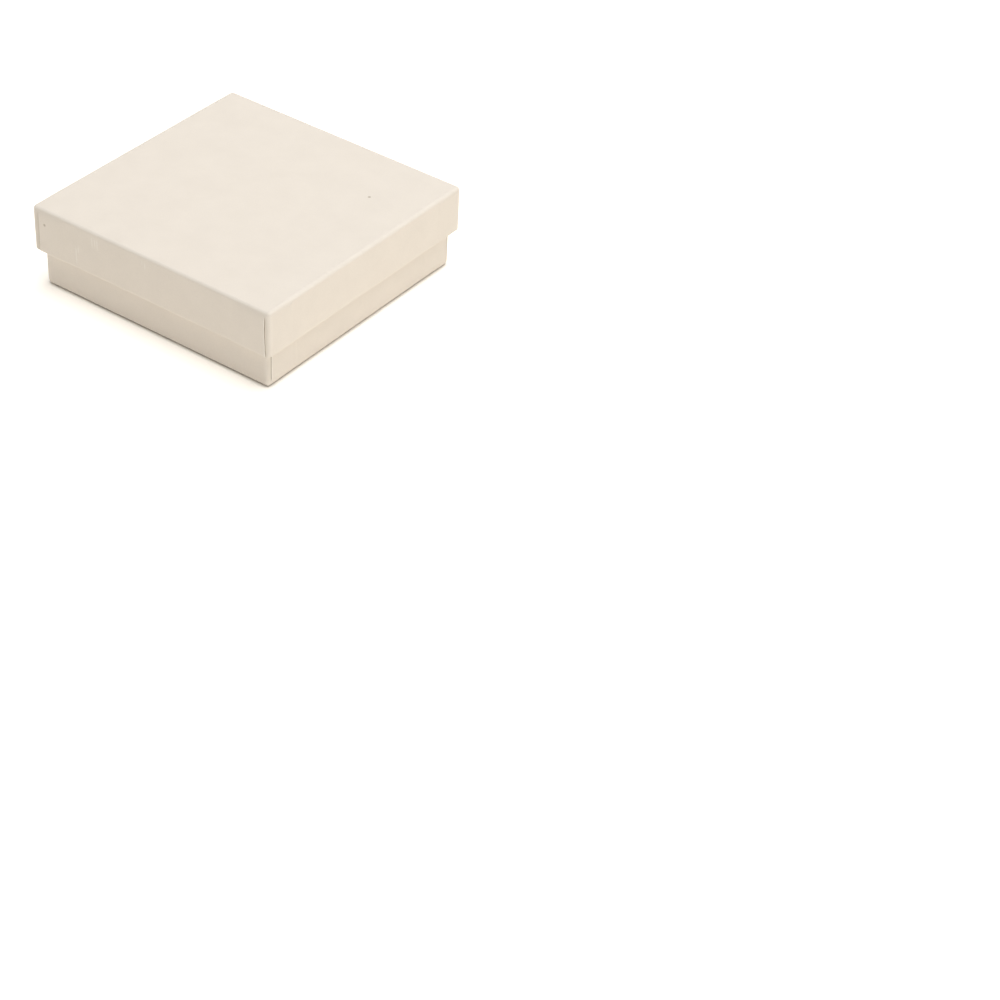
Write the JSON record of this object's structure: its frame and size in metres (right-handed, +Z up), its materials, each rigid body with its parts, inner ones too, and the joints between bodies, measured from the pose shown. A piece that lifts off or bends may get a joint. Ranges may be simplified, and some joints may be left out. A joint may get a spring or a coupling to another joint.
{
  "type": "jewelry gift box",
  "caption": "Square rigid two-piece jewelry gift box: a lift-off lid telescopes over a paper-covered tray that holds a slit foam insert for a ring, earrings and a chain.",
  "frame": {"origin": "centre of the tray's underside, on the surface that the box stands on", "axes": "+Z up through the lid; +X and +Y square to the walls, with -Y the front wall, to which the ring slit of the insert lies nearer"},
  "size_m": [0.0902, 0.0904, 0.0272],
  "materials": {
    "cover_paper": "matte",
    "greyboard": "matte",
    "stay_tape": "matte",
    "lining_paper": "matte",
    "foam": "matte",
    "velvet": "matte"
  },
  "bodies": {
    "tray": {"tray_board": "greyboard", "tray_wrap": "cover_paper", "tray_liner": "lining_paper", "tray_stay_front_left": "stay_tape", "tray_stay_front_right": "stay_tape", "tray_stay_back_left": "stay_tape", "tray_stay_back_right": "stay_tape"},
    "insert": {"insert_foam": "foam", "insert_velvet": "velvet"},
    "lid": {"lid_board": "greyboard", "lid_wrap": "cover_paper", "lid_liner": "lining_paper", "lid_pad": "foam", "lid_stay_front_left": "stay_tape", "lid_stay_front_right": "stay_tape", "lid_stay_back_left": "stay_tape", "lid_stay_back_right": "stay_tape"}
  },
  "joints": [
    {"name": "lid_lift", "type": "slide", "parent": "tray", "child": "lid", "axis": [0, 0, 1], "range_m": [0, 0.05]},
    {"name": "insert_lift", "type": "slide", "parent": "tray", "child": "insert", "axis": [0, 0, 1], "range_m": [0, 0.008]}
  ]
}
